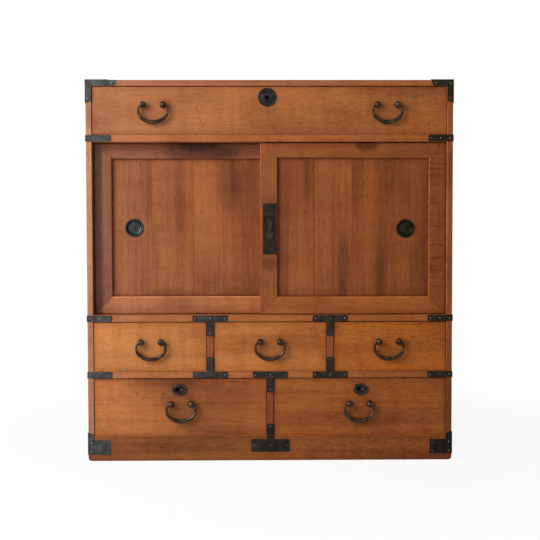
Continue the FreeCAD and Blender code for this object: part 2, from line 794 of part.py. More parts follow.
def drawer(name, centre, opening, floor, row_height, handle_names, handle_drop,
           lock_plate=None, lock_shift=0.0):
    """Writes the nodes of one drawer; handle_names maps each handle node to its x from the centre."""
    x0 = centre - opening / 2 + drawer_side_gap
    x1 = centre + opening / 2 - drawer_side_gap
    top = floor + row_height - drawer_top_gap
    wall_top = top - drawer_wall_drop
    wall_bottom = floor + drawer_bottom_thickness
    lap = front_inside - drawer_lap
    handle_z = top - handle_drop

    bottom = box(x0, x1, lap, drawer_back, floor, wall_bottom)
    left_wall = box(x0, x0 + drawer_wall_thickness, lap, drawer_back, wall_bottom, wall_top)
    right_wall = box(x1 - drawer_wall_thickness, x1, lap, drawer_back, wall_bottom, wall_top)
    back_wall = box(x0 + drawer_wall_thickness, x1 - drawer_wall_thickness,
                    drawer_back - drawer_wall_thickness, drawer_back, wall_bottom, wall_top)
    front = round_front(box(x0, x1, drawer_recess, front_inside, floor, top), drawer_recess, edge_round)
    cuts = [bottom, left_wall, right_wall]
    pins = []
    for handle, offset in handle_names.items():
        cuts += pin_holes(centre + offset, handle_z)
        pins += handle_pins(centre + offset, handle_z)
        save(handle, bail(centre + offset, handle_z))
    if lock_plate:
        lock_x = centre + lock_shift
        if lock_plate is round_lock_plate:
            lock_z = top - top_lock_drop
            keyhole = rod_y(lock_x, lock_z, round_keyhole_radius, drawer_recess, bolt_front)
        else:
            lock_z = top - bottom_lock_drop
            keyhole = rod_y(lock_x + oval_keyhole_shift, lock_z, oval_keyhole_radius,
                            drawer_recess, bolt_front)
        cuts.append(keyhole)
        save(name + "_lock", lock_plate(lock_x, lock_z), lock_case(lock_x, top, keyhole))
        save(name + "_lock_bolt", lock_bolt(lock_x, top))
    save(name + "_front", front.cut(cuts))
    save(name + "_walls", left_wall, right_wall, back_wall)
    save(name + "_bottom", bottom)
    save(name + "_handle_pins", *pins)


# Doors


def door_frame(x0, x1, face):
    """Mitred frame of one door: left stile, right stile, top rail and bottom rail."""
    left, right = x0 + stile_width, x1 - stile_width
    low, high = door_bottom + door_bottom_rail, door_top - door_top_rail
    back = face + door_thickness
    outlines = [
        [(x0, door_bottom), (left, low), (left, high), (x0, door_top)],
        [(x1, door_bottom), (x1, door_top), (right, high), (right, low)],
        [(x0, door_top), (left, high), (right, high), (x1, door_top)],
        [(x0, door_bottom), (x1, door_bottom), (right, low), (left, low)],
    ]
    groove = box(left - panel_groove_depth, right + panel_groove_depth,
                 face + panel_recess, face + panel_recess + panel_thickness,
                 low - panel_groove_depth, high + panel_groove_depth)
    runs = (along_z, along_z, along_x, along_x)
    members = []
    for outline, run in zip(outlines, runs):
        member = round_front(prism_y(outline, face, back), face, door_edge_round, run)
        members.append(member.cut(groove))
    tongue_front = face + (door_thickness - tongue_thickness) / 2
    tongue_back = tongue_front + tongue_thickness
    members[2] = join(members[2], box(x0, x1, tongue_front, tongue_back,
                                      door_top, upper_rail_bottom + upper_track_hold))
    members[3] = join(members[3], box(x0, x1, tongue_front, tongue_back,
                                      middle_rail_top - lower_track_depth, door_bottom))
    return members


def door_panel(x0, x1, face, seams, pull_x, pull_z):
    """Upright boards in the grooves of a frame; one of them is cut for the pull."""
    reach = panel_groove_depth - panel_float
    left, right = x0 + stile_width - reach, x1 - stile_width + reach
    low, high = door_bottom + door_bottom_rail - reach, door_top - door_top_rail + reach
    front = face + panel_recess
    edges = [left] + sorted(seams) + [right]
    hole = rod_y(pull_x, pull_z, pull_cup_radius + pull_wall + pull_fit, front, front + panel_thickness)
    boards = []
    for index in range(len(edges) - 1):
        start = edges[index] + (panel_seam / 2 if index else 0)
        end = edges[index + 1] - (panel_seam / 2 if index < len(edges) - 2 else 0)
        boards.append(box(start, end, front, front + panel_thickness, low, high).cut(hole))
    return boards


def door_pull(x, z, face):
    """Round sunk pull: a rounded rim on the panel and a bowl through it."""
    panel = face + panel_recess
    floor = panel + panel_thickness - pull_floor
    rim_middle = (pull_flange_radius + pull_cup_radius) / 2
    slack = pull_bowl_radius * (1 - math.sqrt(0.5))

    def spot(radius, y):
        return Vector(x + radius, y, z)

    rim = Part.Arc(spot(pull_flange_radius, panel), spot(rim_middle, panel - pull_flange_height),
                   spot(pull_cup_radius, panel)).toShape()
    wall = Part.makePolygon([spot(pull_cup_radius, panel), spot(pull_cup_radius, floor - pull_bowl_radius)])
    bowl = Part.Arc(spot(pull_cup_radius, floor - pull_bowl_radius),
                    spot(pull_cup_radius - slack, floor - slack),
                    spot(pull_cup_radius - pull_bowl_radius, floor)).toShape()
    outside = Part.makePolygon([spot(pull_cup_radius - pull_bowl_radius, floor), spot(0, floor),
                                spot(0, panel + panel_thickness),
                                spot(pull_cup_radius + pull_wall, panel + panel_thickness),
                                spot(pull_cup_radius + pull_wall, panel), spot(pull_flange_radius, panel)])
    outline = Part.Wire([rim] + wall.Edges + [bowl] + outside.Edges)
    return Part.Face(outline).revolve(Vector(x, 0, z), along_y, 360)


def door_bolt_space(x, z, clearance, y0, y1):
    """Bolt of the door lock, or the hole it needs."""
    half_x = door_bolt_width / 2 + clearance
    half_z = door_bolt_height / 2 + clearance
    return box(x - half_x, x + half_x, y0, y1, z - half_z, z + half_z)


def keyhole_cover(x, top, back):
    """Gourd-shaped plate that hangs over the keyhole from a pin near its top."""
    front = back - cover_thickness
    upper_z = top - cover_upper_half_height
    upper = oval_y(x, upper_z, cover_upper_half_width, cover_upper_half_height, front, back)
    lower_z = top - 2 * cover_upper_half_height + cover_waist_lap - cover_lower_half_height
    lower = oval_y(x, lower_z, cover_lower_half_width, cover_lower_half_height, front, back)
    pin_hole = rod_y(x, top - cover_pin_drop, cover_pin_radius + cover_pin_clearance, front, back)
    return join(upper, lower).cut(pin_hole)


def door_lock_plate(x, z, face, cover_top, keyhole_z):
    """Upright plate with a keyhole, the cover's pin and four nails."""
    front = face - door_plate_thickness
    plate = box(x - door_plate_width / 2, x + door_plate_width / 2, front, face,
                z - door_plate_height / 2, z + door_plate_height / 2)
    pin_end = front - 2 * cover_gap - cover_thickness
    pin_z = cover_top - cover_pin_drop
    pin = rod_y(x, pin_z, cover_pin_radius, pin_end, front)
    head = rod_y(x, pin_z, cover_pin_head_radius, pin_end - cover_pin_head_height, pin_end)
    head = round_front(head, pin_end - cover_pin_head_height, cover_pin_head_height / 2)
    plate = join(plate, pin, head)
    nails = []
    holes = [rod_y(x, keyhole_z, door_keyhole_radius, front, face)]
    for side in (-1, 1):
        for end in (-1, 1):
            nail_x = x + side * (door_plate_width / 2 - nail_inset / 2)
            nail_z = z + end * (door_plate_height / 2 - nail_inset / 2)
            nails.append(nail(Vector(nail_x, front, nail_z), along_y, panel_recess))
            holes.append(rod_y(nail_x, nail_z, nail_shank_radius + nail_hole_clearance, front, face))
    return plate.cut(holes), nails


def doors():
    """Writes the nodes of both sliding doors: the left in the rear track, the right in the front one."""
    closed = inner_half - door_side_gap
    plate_x = closed - door_width + stile_width - door_plate_inset - door_plate_width / 2
    plate_z = middle_rail_top + door_plate_rise
    cover_length = 2 * (cover_upper_half_height + cover_lower_half_height) - cover_waist_lap
    cover_top = plate_z + cover_length / 2
    keyhole_z = cover_top - cover_length + cover_lower_half_height
    front_face = door_recess
    bolt_end = front_face + door_thickness - door_bolt_setback

    rear_frame = door_frame(-closed, -closed + door_width, rear_door_face)
    reach = bolt_end + door_bolt_throw + mortise_clearance
    mortise = door_bolt_space(plate_x, keyhole_z, mortise_clearance, rear_door_face, reach)
    rear_frame[1] = rear_frame[1].cut(mortise)
    left_pull = (left_pull_inset - closed, middle_rail_top + left_pull_rise)
    right_pull = (closed - right_pull_inset, middle_rail_top + right_pull_rise)
    save("left_door_frame", *rear_frame)
    save("left_door_panel", *door_panel(-closed, -closed + door_width, rear_door_face,
                                        [seam - closed for seam in left_panel_seams], *left_pull))
    save("left_door_pull", door_pull(*left_pull, rear_door_face))

    front_frame = door_frame(closed - door_width, closed, front_face)
    channel = door_bolt_space(plate_x, keyhole_z, bolt_clearance, front_face, front_face + door_thickness)
    plate, nails = door_lock_plate(plate_x, plate_z, front_face, cover_top, keyhole_z)
    front_frame[0] = front_frame[0].cut([channel])
    save("right_door_frame", *front_frame)
    save("right_door_panel", *door_panel(closed - door_width, closed, front_face,
                                         [closed - seam for seam in right_panel_seams], *right_pull))
    save("right_door_pull", door_pull(*right_pull, front_face))
    save("door_lock_plate", plate, *nails)
    save("keyhole_cover", keyhole_cover(plate_x, cover_top, front_face - door_plate_thickness - cover_gap))
    save("door_lock_bolt", door_bolt_space(plate_x, keyhole_z, 0, bolt_end - door_bolt_length, bolt_end))


def carcass():
    """Writes the nodes of the fixed box and its irons."""
    save("left_side", side_board(-1))
    save("right_side", side_board(1))
    save("top_board", top_board())
    save("base_front_rail", base_front_rail())
    save("lower_rail", lower_rail())
    save("middle_rail", middle_rail())
    save("upper_rail", upper_rail())
    save("dust_boards", *dust_boards())
    save("drawer_dividers", divider(-small_pitch / 2, lower_rail_top, middle_rail_bottom),
         divider(small_pitch / 2, lower_rail_top, middle_rail_bottom),
         divider(0, base_height, lower_rail_bottom))
    save("back_boards", *back_boards())
    save("corner_irons", *corner_irons())
    save("rail_straps", *rail_straps())
    save("tee_irons", *tee_irons())
    save("iron_nails", *iron_nails)


def drawers():
    """Writes the nodes of the six drawers."""
    drawer("top_drawer", 0, 2 * inner_half, upper_rail_top, top_row_height,
           {"top_drawer_left_handle": top_left_handle_inset - inner_half,
            "top_drawer_right_handle": inner_half - top_right_handle_inset},
           top_handle_drop, round_lock_plate, top_lock_shift)
    for name, place in (("left", -1), ("middle", 0), ("right", 1)):
        node = name + "_small_drawer"
        drawer(node, place * small_pitch, small_opening, lower_rail_top, small_row_height,
               {node + "_handle": -place * small_handle_shift}, small_handle_drop)
    for name, place, shift in (("left", -1, left_lock_shift), ("right", 1, right_lock_shift)):
        node = name + "_bottom_drawer"
        drawer(node, place * bottom_pitch / 2, bottom_opening, base_height, bottom_row_height,
               {node + "_handle": -place * bottom_handle_shift}, bottom_handle_drop, oval_lock_plate, shift)


os.makedirs("parts", exist_ok=True)
carcass()
drawers()
doors()
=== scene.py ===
import math

import bpy
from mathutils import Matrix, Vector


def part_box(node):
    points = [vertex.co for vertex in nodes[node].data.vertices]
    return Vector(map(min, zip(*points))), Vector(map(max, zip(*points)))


# Looks of the merchant chest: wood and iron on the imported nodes, soft window-like light, pale floor, camera.
# Places and lengths are in metres, and colours are linear.

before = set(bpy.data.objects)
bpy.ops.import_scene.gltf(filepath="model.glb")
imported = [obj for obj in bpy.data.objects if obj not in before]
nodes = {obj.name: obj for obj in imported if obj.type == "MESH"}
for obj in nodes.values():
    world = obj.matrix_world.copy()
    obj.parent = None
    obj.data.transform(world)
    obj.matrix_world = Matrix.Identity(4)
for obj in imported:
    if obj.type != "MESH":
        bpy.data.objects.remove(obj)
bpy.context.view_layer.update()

# Depths at which the carcass and the left door begin
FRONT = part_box("left_side")[0][1]
DOOR_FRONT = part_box("left_door_frame")[0][1]

# Camera: angles in degrees, focal length in pixels of the photograph
IMAGE_PX = 540
SENSOR_MM = 36.0
CAMERA_PLACE = (-0.0247, -2.4016, 0.5415)
CAMERA_PITCH = -2.17
CAMERA_ROLL = -0.116
CAMERA_YAW = 0.645
CAMERA_FOCAL_PX = 922.0

# Lamps, and the world's light on the object
LAMP_AIM = (0.0, -0.2, 0.50)
KEY_PLACE = (-1.75, -1.45, 1.25)
KEY_SIZE = (1.5, 1.7)
KEY_WATTS = 53.0
GLINT_PLACE = (-1.25, -1.70, 1.55)
GLINT_SIZE = (0.16, 0.22)
GLINT_WATTS = 5.0
AMBIENT = 0.25
WHITE = (1.0, 1.0, 1.0, 1.0)

# Floor: share of plain white near the chest, and the radii between which it grows to all white
FLOOR_SIZE = 24.0
FLOOR_DROP = 0.0005
FLOOR_MATT = (0.9, 0.9, 0.9, 1.0)
FLOOR_SHADE = 0.91
FLOOR_FADE = (0.5, 1.3)

# Woods
DRAWER = (0.402, 0.140, 0.043)
SMALL_DRAWER = (0.488, 0.172, 0.040)
RIGHT_SMALL_DRAWER = (0.450, 0.138, 0.025)
BOTTOM_DRAWER = (0.440, 0.140, 0.032)
RIGHT_BOTTOM_DRAWER = (0.362, 0.114, 0.026)
LEFT_DOOR = (0.314, 0.109, 0.043)
RIGHT_DOOR = (0.280, 0.088, 0.026)
PANEL = (0.320, 0.100, 0.029)
RAIL = (0.460, 0.158, 0.046)
TOP = (0.462, 0.176, 0.067)
SIDE = (0.340, 0.118, 0.044)
DIVIDER = (0.270, 0.082, 0.026)
BASE = (0.275, 0.088, 0.020)
PALE = (0.42, 0.228, 0.100)

# Noises in the wood: scale along the grain, scale across it, detail, roughness
WOOD_NOISES = {
    "cloud": (4.5, 11.0, 3.0, 0.55),
    "band": (0.9, 24.0, 3.0, 0.55),
    "streak": (2.6, 95.0, 4.0, 0.6),
    "fibre": (24.0, 800.0, 2.0, 0.55),
    "ripple": (38.0, 5.0, 2.0, 0.55),
    "pore": (75.0, 480.0, 1.0, 0.55),
    "rough": (60.0, 60.0, 3.0, 0.55),
    "flock": (5.0, 7.0, 2.0, 0.55),
    "fleck": (65.0, 190.0, 3.0, 0.6),
    "curl": (150.0, 22.0, 3.0, 0.55),
}

# Tints that follow a noise: its name, the values where the tint starts and is full, strength, tint
FIGURE = (
    ("cloud", 0.48, 0.72, 0.8, (0.74, 0.64, 0.64)),
    ("cloud", 0.50, 0.28, 0.8, (1.20, 1.20, 1.06)),
    ("fibre", 0.50, 0.66, 0.8, (0.84, 0.80, 0.77)),
    ("ripple", 0.46, 0.64, 0.8, (0.90, 0.87, 0.85)),
)
STREAKS = (
    ("band", 0.48, 0.66, 0.75, (0.70, 0.60, 0.64)),
    ("band", 0.50, 0.32, 0.75, (1.18, 1.15, 0.96)),
    ("streak", 0.48, 0.66, 0.7, (0.80, 0.73, 0.70)),
)
FLECKS = (
    ("fleck", 0.50, 0.66, 1.0, (0.70, 0.62, 0.60)),
    ("fleck", 0.48, 0.34, 1.0, (1.26, 1.24, 1.20)),
)

# Flecks fade to the left: x where they are faintest and strongest, share that is left at the faintest
FLECK_RANGE = (-0.30, 0.25)
FLECK_LEFT = 0.4

# Painted light across the width: on the wood a pale bluish sheen to the left and shade to the right, on the
# irons shade to the right; x where a tint starts, x where it is full, tint
PAINTED_LIGHT_FALL = ((0.05, -0.44, (1.02, 1.16, 1.62)), (-0.05, 0.42, (0.86, 0.78, 0.60)))
IRON_SHADE_FALL = ((-0.42, 0.12, (0.44, 0.38, 0.31)), (0.12, 0.43, (0.86, 0.80, 0.66)))

# Painted shade on the irons at the lower right: the z and the x ranges over which they darken, tint
IRON_LOW_Z = (0.20, 0.05)
IRON_LOW_X = (-0.50, 0.30)
IRON_LOW = (0.56, 0.48, 0.40)

# Tints of pores, joints, marks and wear on the wood, and of painted light and shade
PORE_DARK = (0.52, 0.43, 0.38)
BOARD_TONE = (0.74, 0.66, 0.64)
SEAM_DARK = (0.30, 0.24, 0.24)
MITRE_DARK = (0.42, 0.33, 0.30)
FOOT_PALE = (1.37, 1.37, 1.17)
STAIN_AND_SHADE_DARK = (0.34, 0.30, 0.36)
CURL_DARK = (0.66, 0.50, 0.40)
CRACK_DARK = (0.40, 0.32, 0.30)
DENT_DARK = (0.30, 0.22, 0.20)
LIP_PALE_HIGHLIGHT = (2.0, 2.0, 1.95)
ARRIS_PALE_HIGHLIGHT = (1.40, 1.50, 1.80)
STILE_HAZE_LIGHT = (1.45, 1.85, 2.40)
INSIDE_SHADE = (0.42, 0.52, 0.80)
LEFT_EDGE_LIGHT = (1.28, 1.52, 1.56)
RIGHT_EDGE_SHADE = (0.86, 0.84, 0.84)

# Strength of the tints in pores, and in curls, cracks and dents
PORE_STRENGTH = 0.7
MARK_STRENGTH = 0.8

# Bands along the outline of a front: noise that makes them ragged, its weight, shift, width, tint
EDGE_DARK_BAND = ("rough", 0.010, -0.004, 0.011, (0.55, 0.45, 0.42))
EDGE_TONE = ("cloud", 0.060, -0.025, 0.030, (0.80, 0.70, 0.70))
EDGE_TONE_STRENGTH = 0.5

# Masks: the values where they start and are full
PORE_STEP = (0.62, 0.74)
FLOCK_STEP = (0.38, 0.62)
MARK_STEP = (0.150, 0.085)
HOLE_STEP = (0.085, 0.055)
PATCH_STEP = (1.7, 0.9)
CURL_STEP = (0.50, 0.64)
CRACK_HEAD = (-0.02, 0.08)
CRACK_FOOT = (1.02, 0.85)
MITRE_STEP = (0.035, 0.008)
FOOT_STEP = (0.02, -0.02)
OVAL_STEP = (1.08, 0.92)

# Wear and painted highlight of rubbed edges: values of the noise where it is least and most, and how strong it
# is there
LIP_WEAR_AND_HIGHLIGHT = (0.35, 0.55, 0.4, 1.0)
ARRIS_WEAR_AND_HIGHLIGHT = (0.35, 0.60, 0.3, 1.0)

# Long marks: scale, raggedness, differences in size, soft edge of their share, depth beside worm holes
MARK_SCALE = (14.0, 38.0, 38.0)
MARK_ROUGH = 0.10
MARK_VARIETY = 0.05
MARK_SPREAD = 0.05
MARK_SHALLOW = 0.5

# Worm holes: scale, how much rarer they are than marks, soft edge of their share
HOLE_SCALE = (48.0, 62.0, 62.0)
HOLE_RARER = 0.2
HOLE_SPREAD = 0.02

# Stains, painted keyhole shade and cracks: weights of the noises that make their outlines ragged
PATCH_CLOUD = 0.32
PATCH_ROUGH = 0.8
PATCH_SHIFT = -0.16
CRACK_WAVER = 0.012
CRACK_CORE = 0.3

# Relief of the wood in parts of one height, and its rounded edges
WOOD_HEIGHT = 0.0003
WOOD_ROUNDING = 0.0007
FIBRE_RISE = 0.18
STREAK_RISE = 0.22
PORE_DEPTH = 0.45
DENT_DEPTH = 1.2
CRACK_DEPTH = 1.0
MITRE_DEPTH = 1.3

# Gloss of the wood: specular level, roughness of waxed and of bare wood, what clouds and pores add to it
WOOD_SPECULAR = 0.14
WAXED = 0.38
BARE = 0.54
CLOUD_DULL = 0.14
PORE_DULL = 0.16

# Shift of the noises from one piece to the next, and from one board to the next
WOOD_SHIFT = (1.37, 2.11, 0.73)
IRON_SHIFT = (0.31, 0.17, 0.53)
BOARD_SHIFT = 3.7

# Parts of the door frames that the looks follow
STILE = 0.041
TOP_RAIL = 0.0357
BOTTOM_RAIL = 0.0418
TOP_TONGUE = 0.006
BOTTOM_TONGUE = 0.0045

# Door frames: strength of the lines at the upper and lower mitres, x where the right stile's curls start and
# the width over which they appear, width of the painted light (a pale bluish haze) on the left stile
MITRE_TOP = 0.2
MITRE_LOW = 0.75
CURL = 0.379
CURL_BLUR = 0.004
HAZE_LIGHT_WIDTH = 0.035

# Half width of the line where two boards meet, share of it that is darkest, reach of rubbed and highlighted
# edges
SEAM = 0.0011
SEAM_CORE = 0.4
ARRIS = 0.0026

# Front edges of the sides, painted light on the left one and painted shade on the right one, and the inner
# wall between the carcass front and the left door, which gets painted shade
EDGE_TINT = (FRONT + 0.0016, FRONT + 0.0008)
INSIDE_FRONT = (FRONT + 0.001, FRONT + 0.005)
INSIDE_BACK = (DOOR_FRONT + 0.010, DOOR_FRONT)
INSIDE_SKIN = (0.0012, 0.0004)

# Stains on the fronts: x, z, half width, half height, strength. A drawer's strongest one is painted shade in
# its keyhole.
STAINS_AND_KEYHOLE_SHADE = {
    "upper_rail": ((0.0257, 0.763, 0.0028, 0.004, 0.9),),
    "middle_rail": ((0.20, 0.340, 0.50, 0.200, 0.27),),
    "lower_rail": ((0.34, 0.212, 0.14, 0.030, 0.34),),
    "top_board": ((0.0, 0.903, 0.14, 0.030, 0.12),),
    "base_front_rail": ((-0.17, 0.045, 0.16, 0.025, 0.3),),
    "left_side": (
        (-0.43, 0.86, 0.06, 0.07, 0.2),
        (-0.43, 0.12, 0.06, 0.24, 0.26),
    ),
    "right_side": (
        (0.43, 0.09, 0.06, 0.20, 0.6),
        (0.43, 0.70, 0.06, 0.05, 0.40),
    ),
    "top_drawer_front": (
        # Painted shade in the keyhole
        (-0.006, 0.8683, 0.009, 0.009, 0.96),
        (-0.40, 0.835, 0.05, 0.06, 0.2),
        (0.32, 0.885, 0.12, 0.018, 0.25),
    ),
    "left_bottom_drawer_front": (
        # Painted shade in the keyhole
        (-0.2221, 0.171, 0.009, 0.009, 0.96),
        (-0.245, 0.193, 0.08, 0.018, 0.4),
        (-0.215, 0.180, 0.12, 0.030, 0.25),
        (-0.222, 0.140, 0.05, 0.045, 0.35),
        (-0.095, 0.115, 0.13, 0.07, 0.30),
        (-0.20, 0.135, 0.15, 0.08, 0.22),
        (-0.10, 0.073, 0.15, 0.014, 0.3),
    ),
    # Its one patch is painted shade in the keyhole
    "right_bottom_drawer_front": ((0.2127, 0.171, 0.009, 0.009, 0.96),),
    "left_door_frame": (
        (-0.160, 0.742, 0.105, 0.042, 0.72),
        (-0.172, 0.757, 0.060, 0.014, 0.75),
        (-0.152, 0.738, 0.078, 0.024, 0.5),
        (-0.050, 0.745, 0.09, 0.040, 0.30),
        (-0.30, 0.750, 0.10, 0.014, 0.3),
    ),
    "right_door_frame": (
        (0.231, 0.756, 0.030, 0.015, 0.95),
        (-0.001, 0.474, 0.022, 0.020, 0.6),
        (-0.001, 0.626, 0.020, 0.014, 0.35),
        (0.10, 0.756, 0.10, 0.012, 0.3),
    ),
    "left_door_panel": (
        (-0.298, 0.660, 0.018, 0.075, 0.4),
        (-0.217, 0.620, 0.008, 0.10, 0.12),
        (-0.094, 0.664, 0.034, 0.07, 0.45),
        (-0.236, 0.402, 0.07, 0.014, 0.4),
        (-0.048, 0.56, 0.026, 0.24, 0.3),
        (-0.08, 0.415, 0.10, 0.040, 0.25),
    ),
    "right_door_panel": (
        (0.091, 0.676, 0.010, 0.06, 0.25),
        (0.178, 0.465, 0.015, 0.095, 0.6),
        (0.266, 0.440, 0.016, 0.08, 0.5),
        (0.264, 0.54, 0.022, 0.24, 0.28),
        (0.285, 0.676, 0.012, 0.06, 0.35),
        (0.345, 0.56, 0.022, 0.15, 0.2),
        (0.362, 0.440, 0.026, 0.12, 0.35),
        (0.140, 0.415, 0.055, 0.045, 0.22),
    ),
}

# Crack in the top drawer's front: x and z of its head, x and z of its foot, half width
CRACK = (-0.176, 0.850, -0.156, 0.785, 0.0009)

# Boards of the door panels: x of each seam, strength of its line, dark tone that is added past it
PANEL_BOARDS = {
    "left_door_panel": ((-0.2865, 0.1, 0.0), (-0.185, 0.2, 0.0), (-0.113, 0.1, 0.05)),
    "right_door_panel": ((0.1055, 0.95, 0.1), (0.1965, 0.1, 0.05), (0.2935, 0.15, 0.1)),
}

# Back boards: their number, strength of the lines between them
BACK_BOARDS = 5
BACK_LINE = 0.8

# Noises in the iron: scale, detail, roughness, and the scale of the hammer marks
IRON_MOTTLE = (70.0, 4.0, 0.6)
IRON_FINE = (420.0, 3.0, 0.6)
IRON_BLOOM = (28.0, 4.0, 0.65)
HAMMER_SCALE = (140.0, 140.0, 140.0)

# Those noises as masks, as relief and as changes of roughness, rust, specular level
MOTTLE_STEP = (0.36, 0.66)
BLOOM_STEP = (0.52, 0.74)
FINE_STEP = (0.3, 0.7)
HAMMER_RISE = 0.8
MOTTLE_RISE = 0.5
FINE_RISE = 0.22
FINE_GLOSSY = 0.07
FINE_DULL = 0.09
RUST = (0.040, 0.020, 0.011, 1.0)
IRON_SPECULAR = 0.12

# Ovals on the drawer locks, a dark one with a paler one in it (on the bottom locks the dark one is painted
# shade in the well): x, z, half width, half height, tint
LOCK_OVALS = (
    (-0.006, 0.8683, 0.0225, 0.0225, (0.68, 0.67, 0.70)),
    (-0.006, 0.8683, 0.0115, 0.0115, (1.15, 1.15, 1.2)),
    (-0.21765, 0.171, 0.0130, 0.0082, (0.45, 0.38, 0.40)),
    (-0.21165, 0.171, 0.0036, 0.0036, (7.0, 5.4, 5.4)),
    (0.21705, 0.171, 0.0130, 0.0082, (0.45, 0.38, 0.40)),
    (0.22305, 0.171, 0.0036, 0.0036, (7.0, 5.4, 5.4)),
)

# Sockets of Blender's Mix node for colours, and the samples of its Bevel node
MIX_FACTOR = 0
MIX_FIRST = 6
MIX_SECOND = 7
MIX_RESULT = 2
BEVEL_SAMPLES = 4


class Tree:
    """One material built out of nodes, with a shade that is tinted step by step."""

    def __init__(self, name, shade=None):
        self.material = bpy.data.materials.new(name)
        self.material.use_nodes = True
        self.nodes = self.material.node_tree.nodes
        self.links = self.material.node_tree.links
        self.shader = self.nodes["Principled BSDF"]
        self.shade = shade

    def feed(self, socket, value):
        """Links a socket to another, or sets it."""
        if isinstance(value, bpy.types.NodeSocket):
            self.links.new(value, socket)
        else:
            socket.default_value = value

    def node(self, kind, settings=None, **inputs):
        """New node; its inputs are named by their sockets, with _ for a space."""
        node = self.nodes.new("ShaderNode" + kind)
        for key, value in (settings or {}).items():
            setattr(node, key, value)
        for key, value in inputs.items():
            self.feed(node.inputs[key.replace("_", " ")], value)
        return node

    def math(self, operation, *values):
        """Arithmetic on numbers."""
        node = self.node("Math", {"operation": operation})
        for socket, value in zip(node.inputs, values):
            self.feed(socket, value)
        return node.outputs[0]

    def add(self, first, *others):
        """Sum of numbers."""
        for value in others:
            first = self.math("ADD", first, value)
        return first

    def minus(self, first, second):
        """Difference of two numbers."""
        return self.math("SUBTRACT", first, second)

    def apart(self, first, second):
        """Distance between two numbers."""
        return self.math("ABSOLUTE", self.minus(first, second))

    def scaled(self, value, factor):
        """Product of two numbers."""
        return self.math("MULTIPLY", value, factor)

    def least(self, first, *others):
        """Smallest of some numbers."""
        for value in others:
            first = self.math("MINIMUM", first, value)
        return first

    def vector(self, operation, *values):
        """Arithmetic on vectors."""
        node = self.node("VectorMath", {"operation": operation})
        for socket, value in zip(node.inputs, values):
            self.feed(socket, value)
        return node.outputs[0]

    def step(self, value, low, high, out_low=0.0, out_high=1.0):
        """Smooth step from one range of numbers to another."""
        return self.node("MapRange", {"interpolation_type": "SMOOTHSTEP"}, Value=value, From_Min=low,
                         From_Max=high, To_Min=out_low, To_Max=out_high).outputs[0]

    def oval(self, x, z, centre, half):
        """Distance from a centre on the front, in parts of a half width and a half height."""
        side = self.math("DIVIDE", self.minus(x, centre[0]), half[0])
        rise = self.math("DIVIDE", self.minus(z, centre[1]), half[1])
        return self.math("SQRT", self.add(self.scaled(side, side), self.scaled(rise, rise)))

    def noise(self, place, scale, detail, roughness):
        """Soft noise from 0 to 1, with its own scale along each axis."""
        return self.node("TexNoise", None, Vector=self.vector("MULTIPLY", place, scale), Scale=1.0,
                         Detail=detail, Roughness=roughness).outputs["Fac"]

    def cells(self, place, scale, feature, dimensions):
        """Distance to the nearest of scattered points, and a random number for each point."""
        node = self.node("TexVoronoi", {"feature": feature, "voronoi_dimensions": dimensions},
                         Vector=self.vector("MULTIPLY", place, scale), Scale=1.0)
        pick = self.node("SeparateColor", None, Color=node.outputs["Color"]).outputs[0]
        return node.outputs["Distance"], pick

    def mix(self, first, second, factor, blend="MIX"):
        """Blend of two colours."""
        node = self.node("Mix", {"data_type": "RGBA", "blend_type": blend})
        for index, value in ((MIX_FACTOR, factor), (MIX_FIRST, first), (MIX_SECOND, second)):
            self.feed(node.inputs[index], value)
        return node.outputs[MIX_RESULT]

    def tint(self, rgb, mask):
        """Multiplies the shade where a mask is set."""
        self.shade = self.mix(self.shade, (*rgb, 1.0), mask, "MULTIPLY")

    def bump(self, height, distance, rounding):
        """Surface normal from a height in parts of a distance, with edges that look rounded."""
        edge = self.node("Bevel", {"samples": BEVEL_SAMPLES}, Radius=rounding).outputs[0]
        node = self.node("Bump", None, Strength=1.0, Distance=distance, Height=height, Normal=edge)
        self.feed(self.shader.inputs["Normal"], node.outputs[0])


